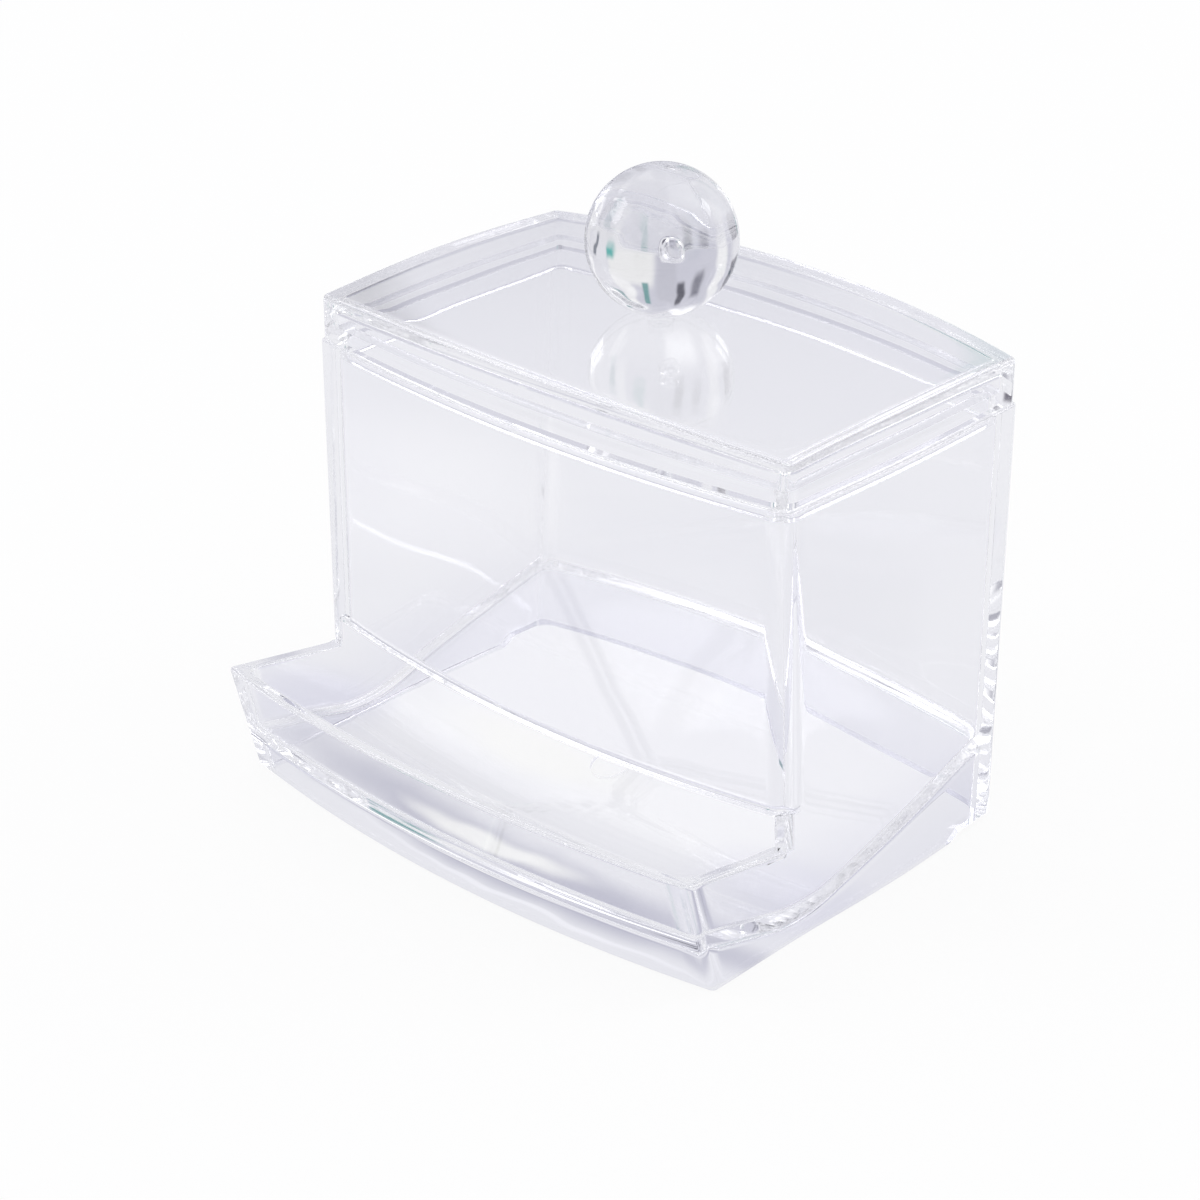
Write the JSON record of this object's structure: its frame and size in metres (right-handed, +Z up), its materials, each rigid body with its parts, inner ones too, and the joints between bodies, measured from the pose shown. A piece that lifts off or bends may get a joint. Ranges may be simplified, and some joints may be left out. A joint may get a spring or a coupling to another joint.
{
  "type": "cotton swab holder",
  "caption": "Clear cotton swab dispenser: a bowed hopper with a slot under its front wall, a scooped tray in front, a lift-off domed lid and a ball knob",
  "frame": {"origin": "bottom centre of the whole object's bounding box, on the surface it stands on", "axes": "+X to the right when the tray is towards the viewer, -Y towards the tray, +Z up"},
  "size_m": [0.0958, 0.0832, 0.0996],
  "materials": {
    "clear_body": "clear, polished",
    "clear_lid": "clear, polished",
    "clear_knob": "clear, polished"
  },
  "bodies": {
    "holder": {"body": "clear_body"},
    "cover": {"lid": "clear_lid", "knob": "clear_knob"}
  },
  "joints": [
    {"name": "lid_lift", "type": "slide", "parent": "holder", "child": "cover", "axis": [0, 0, 1], "range_m": [0, 0.04]}
  ]
}
